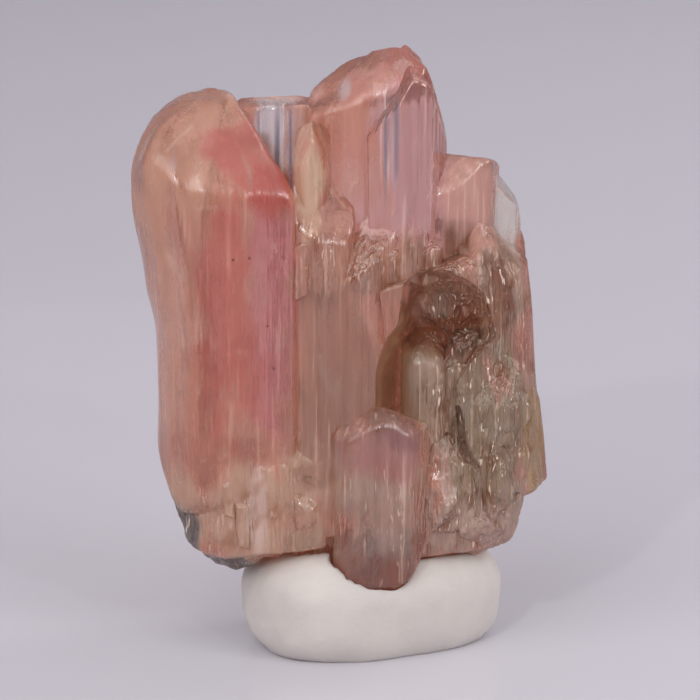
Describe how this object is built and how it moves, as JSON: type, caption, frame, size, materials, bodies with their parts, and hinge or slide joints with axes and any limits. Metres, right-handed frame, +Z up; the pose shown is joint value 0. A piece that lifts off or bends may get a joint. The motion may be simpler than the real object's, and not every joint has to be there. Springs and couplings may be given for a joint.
{
  "type": "tanzanite crystal cluster on a putty base",
  "caption": "Upright cluster of parallel pink and peach tanzanite crystals, see-through, with a dark pit at lower right, standing in a lump of white mineral putty.",
  "frame": {"origin": "under the middle of the whole object's box, on the surface that the putty's flat foot stands on", "axes": "+Z up along the crystals' length, -Y out of the broad face with the pit, +X to that face's right"},
  "size_m": [0.0182, 0.0094, 0.0266],
  "materials": {
    "pink_tanzanite": "glassy, clear to cloudy, finely lined along its length",
    "white_putty": "matte, pressed smooth by hand"
  },
  "bodies": {
    "root": {"tanzanite_crystal": "pink_tanzanite", "putty_base": "white_putty"}
  },
  "joints": []
}
